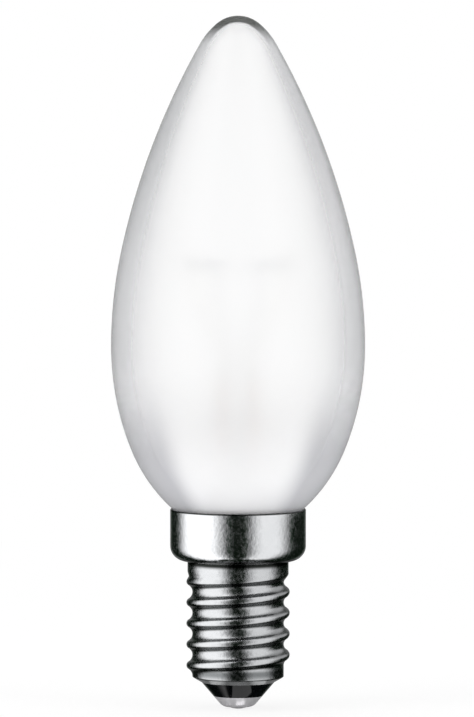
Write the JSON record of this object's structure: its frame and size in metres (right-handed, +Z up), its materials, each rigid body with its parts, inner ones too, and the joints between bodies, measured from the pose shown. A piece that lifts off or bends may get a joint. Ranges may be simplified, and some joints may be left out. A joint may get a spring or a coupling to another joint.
{
  "type": "candle bulb",
  "caption": "Candle-shaped filament bulb: satin blown-glass envelope, tapered to a rounded tip, cemented into a small right-hand screw cap with a black glass insulator and a domed end contact.",
  "frame": {"origin": "lowest point of the end contact, on the lamp's axis, where the lamp meets its holder", "axes": "+Z up the lamp's axis from the contact to the glass tip; -Y is the side the picture shows; the side solder bead faces +Y"},
  "size_m": [0.034, 0.034, 0.093],
  "materials": {
    "satin_glass": "glossy outside, frosted inside",
    "stem_glass": "clear fire-polished",
    "copper_clad_wire": "dull copper",
    "nickel_wire": "drawn wire",
    "support_wire": "drawn wire",
    "tungsten": "dark coiled wire",
    "copper_wire": "drawn copper",
    "cement": "matt baked cement",
    "nickel_plated_cap": "satin plated, drawn and rolled",
    "black_glass": "glossy moulded black glass",
    "tinned_contact": "tinned, slightly dull",
    "solder": "smooth solder"
  },
  "bodies": {
    "root": {"glass_envelope": "satin_glass", "stem_flare": "stem_glass", "exhaust_tube": "stem_glass", "seal_wire_left": "copper_clad_wire", "seal_wire_right": "copper_clad_wire", "inner_lead_left": "nickel_wire", "inner_lead_right": "nickel_wire", "filament_support_left": "support_wire", "filament_support_right": "support_wire", "filament": "tungsten", "outer_lead_centre": "copper_wire", "outer_lead_side": "copper_wire", "capping_cement": "cement", "cap_shell": "nickel_plated_cap", "cap_insulator": "black_glass", "contact_plate": "tinned_contact", "centre_solder": "solder", "side_solder": "solder"}
  },
  "joints": []
}
